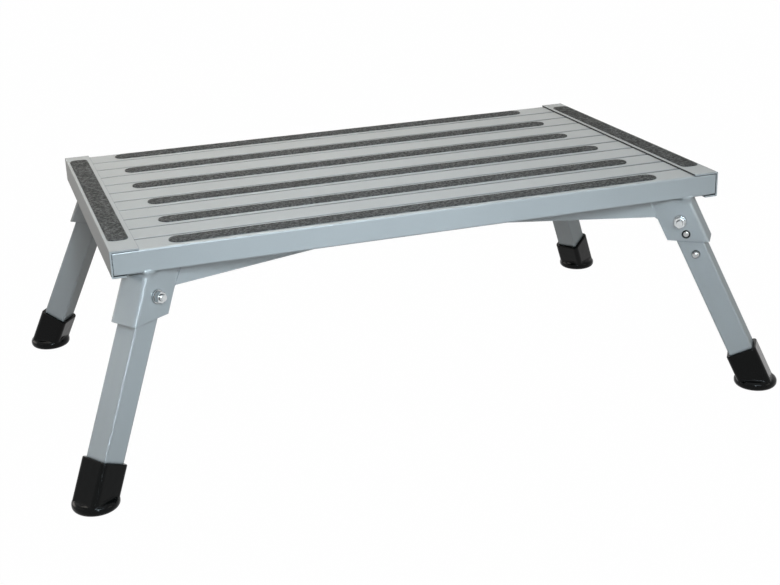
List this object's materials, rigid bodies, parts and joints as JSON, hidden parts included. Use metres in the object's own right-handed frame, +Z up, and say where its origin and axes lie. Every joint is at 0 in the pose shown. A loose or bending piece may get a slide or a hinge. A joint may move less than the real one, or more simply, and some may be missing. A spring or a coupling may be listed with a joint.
{
  "type": "folding platform step",
  "caption": "Folding platform step for a caravan door: a slatted deck with grit strips and end caps on splayed square legs that hinge in under it and lock with spring buttons.",
  "frame": {"origin": "on the floor under the middle of the deck", "axes": "+X along the deck's length, +Y from the front long side to the rear one, +Z up"},
  "size_m": [0.7326, 0.4654, 0.2294],
  "materials": {
    "painted_frame": "satin",
    "grit": "matte",
    "feet": "gloss",
    "zinc_hardware": "satin"
  },
  "bodies": {
    "deck": {"deck_slat_01": "painted_frame", "deck_slat_02": "painted_frame", "deck_slat_03": "painted_frame", "deck_slat_04": "painted_frame", "deck_slat_05": "painted_frame", "deck_slat_06": "painted_frame", "deck_slat_07": "painted_frame", "deck_slat_08": "painted_frame", "deck_slat_09": "painted_frame", "deck_slat_10": "painted_frame", "deck_slat_11": "painted_frame", "left_end_cap": "painted_frame", "right_end_cap": "painted_frame", "front_left_leg_bracket": "painted_frame", "front_right_leg_bracket": "painted_frame", "rear_left_leg_bracket": "painted_frame", "rear_right_leg_bracket": "painted_frame", "front_brace": "painted_frame", "rear_brace": "painted_frame", "grip_strip_1": "grit", "grip_strip_2": "grit", "grip_strip_3": "grit", "grip_strip_4": "grit", "grip_strip_5": "grit", "grip_strip_6": "grit", "left_end_grip_strip": "grit", "right_end_grip_strip": "grit", "hinge_bolts": "zinc_hardware", "hinge_nuts": "zinc_hardware", "hinge_washers": "zinc_hardware"},
    "front_left_leg": {"front_left_leg": "painted_frame", "front_left_foot": "feet"},
    "front_left_lock": {"front_left_lock_clip": "zinc_hardware"},
    "front_right_leg": {"front_right_leg": "painted_frame", "front_right_foot": "feet"},
    "front_right_lock": {"front_right_lock_clip": "zinc_hardware"},
    "rear_left_leg": {"rear_left_leg": "painted_frame", "rear_left_foot": "feet"},
    "rear_left_lock": {"rear_left_lock_clip": "zinc_hardware"},
    "rear_right_leg": {"rear_right_leg": "painted_frame", "rear_right_foot": "feet"},
    "rear_right_lock": {"rear_right_lock_clip": "zinc_hardware"}
  },
  "joints": [
    {"name": "front_left_fold", "type": "hinge", "parent": "deck", "child": "front_left_leg", "pos_m": [-0.276, -0.1629, 0.1798], "axis": [0.5736, -0.8192, 0], "range_deg": [0, 115.7], "deforming": ["front_left_lock_clip"]},
    {"name": "front_left_lock_press", "type": "slide", "parent": "front_left_leg", "child": "front_left_lock", "axis": [0.5736, -0.8192, 0], "range_m": [0, 0.004], "stiffness_N_per_m": 1500, "springref_m": -0.003},
    {"name": "front_right_fold", "type": "hinge", "parent": "deck", "child": "front_right_leg", "pos_m": [0.276, -0.1629, 0.1798], "axis": [0.5736, 0.8192, 0], "range_deg": [0, 115.7], "deforming": ["front_right_lock_clip"]},
    {"name": "front_right_lock_press", "type": "slide", "parent": "front_right_leg", "child": "front_right_lock", "axis": [0.5736, 0.8192, 0], "range_m": [0, 0.004], "stiffness_N_per_m": 1500, "springref_m": -0.003},
    {"name": "rear_left_fold", "type": "hinge", "parent": "deck", "child": "rear_left_leg", "pos_m": [-0.276, 0.1629, 0.1798], "axis": [-0.5736, -0.8192, 0], "range_deg": [0, 115.7], "deforming": ["rear_left_lock_clip"]},
    {"name": "rear_left_lock_press", "type": "slide", "parent": "rear_left_leg", "child": "rear_left_lock", "axis": [-0.5736, -0.8192, 0], "range_m": [0, 0.004], "stiffness_N_per_m": 1500, "springref_m": -0.003},
    {"name": "rear_right_fold", "type": "hinge", "parent": "deck", "child": "rear_right_leg", "pos_m": [0.276, 0.1629, 0.1798], "axis": [-0.5736, 0.8192, 0], "range_deg": [0, 115.7], "deforming": ["rear_right_lock_clip"]},
    {"name": "rear_right_lock_press", "type": "slide", "parent": "rear_right_leg", "child": "rear_right_lock", "axis": [-0.5736, 0.8192, 0], "range_m": [0, 0.004], "stiffness_N_per_m": 1500, "springref_m": -0.003}
  ]
}
